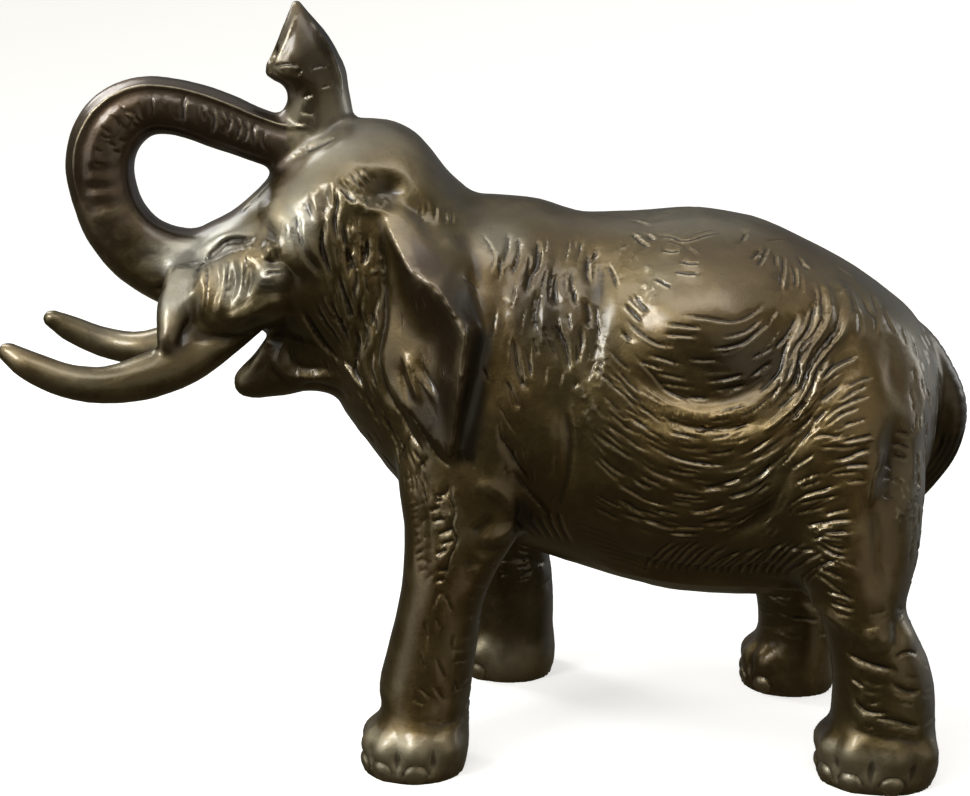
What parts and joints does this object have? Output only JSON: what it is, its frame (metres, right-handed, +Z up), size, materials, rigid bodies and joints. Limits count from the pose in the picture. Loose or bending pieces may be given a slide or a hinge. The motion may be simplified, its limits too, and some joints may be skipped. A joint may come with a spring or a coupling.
{
  "type": "bronze elephant sculpture",
  "caption": "Cast bronze elephant standing on its feet, trunk raised in a loop over its forehead, tusks forward, hide engraved with folds.",
  "frame": {"origin": "on the ground, in the middle of the casting's box seen from above", "axes": "+X towards the tail, so the elephant walks towards -X; +Y towards its right side; +Z up, from the soles towards the raised trunk"},
  "size_m": [0.2774, 0.1064, 0.2144],
  "materials": {
    "bronze": "dark brown patina rubbed golden on the raised folds, soft waxed gloss"
  },
  "bodies": {
    "root": {"elephant": "bronze"}
  },
  "joints": []
}
